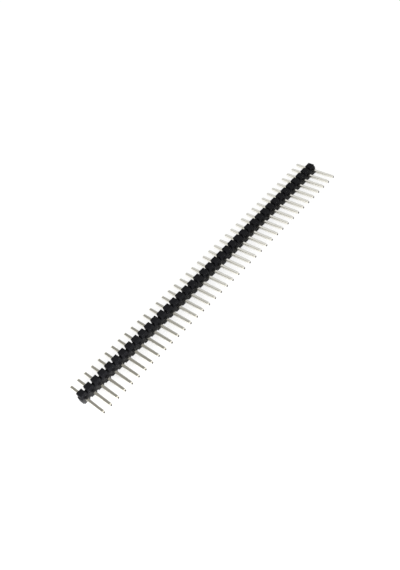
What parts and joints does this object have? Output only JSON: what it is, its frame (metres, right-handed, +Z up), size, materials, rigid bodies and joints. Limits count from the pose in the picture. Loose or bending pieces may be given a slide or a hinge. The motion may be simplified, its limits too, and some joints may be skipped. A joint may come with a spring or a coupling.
{
  "type": "pin header strip",
  "caption": "Single-row straight pin header strip: a black moulded housing with break notches and square tinned pins pressed through it.",
  "frame": {"origin": "centre of the bounding box's bottom: the middle of the row, halfway along the pins, on the plane that the housing's long side lies on", "axes": "+X along the row, +Y along the pins towards the solder tails (so -Y is towards the mating pins), +Z up, square to the row and to the pins"},
  "size_m": [0.0508, 0.0072, 0.0017],
  "materials": {
    "housing": "black moulded thermoplastic, slightly satin",
    "pin": "brass wire with a bright tin plating"
  },
  "bodies": {
    "root": {"housing": "housing", "pin_01": "pin", "pin_02": "pin", "pin_03": "pin", "pin_04": "pin", "pin_05": "pin", "pin_06": "pin", "pin_07": "pin", "pin_08": "pin", "pin_09": "pin", "pin_10": "pin", "pin_11": "pin", "pin_12": "pin", "pin_13": "pin", "pin_14": "pin", "pin_15": "pin", "pin_16": "pin", "pin_17": "pin", "pin_18": "pin", "pin_19": "pin", "pin_20": "pin", "pin_21": "pin", "pin_22": "pin", "pin_23": "pin", "pin_24": "pin", "pin_25": "pin", "pin_26": "pin", "pin_27": "pin", "pin_28": "pin", "pin_29": "pin", "pin_30": "pin", "pin_31": "pin", "pin_32": "pin", "pin_33": "pin", "pin_34": "pin", "pin_35": "pin", "pin_36": "pin", "pin_37": "pin", "pin_38": "pin", "pin_39": "pin", "pin_40": "pin"}
  },
  "joints": []
}
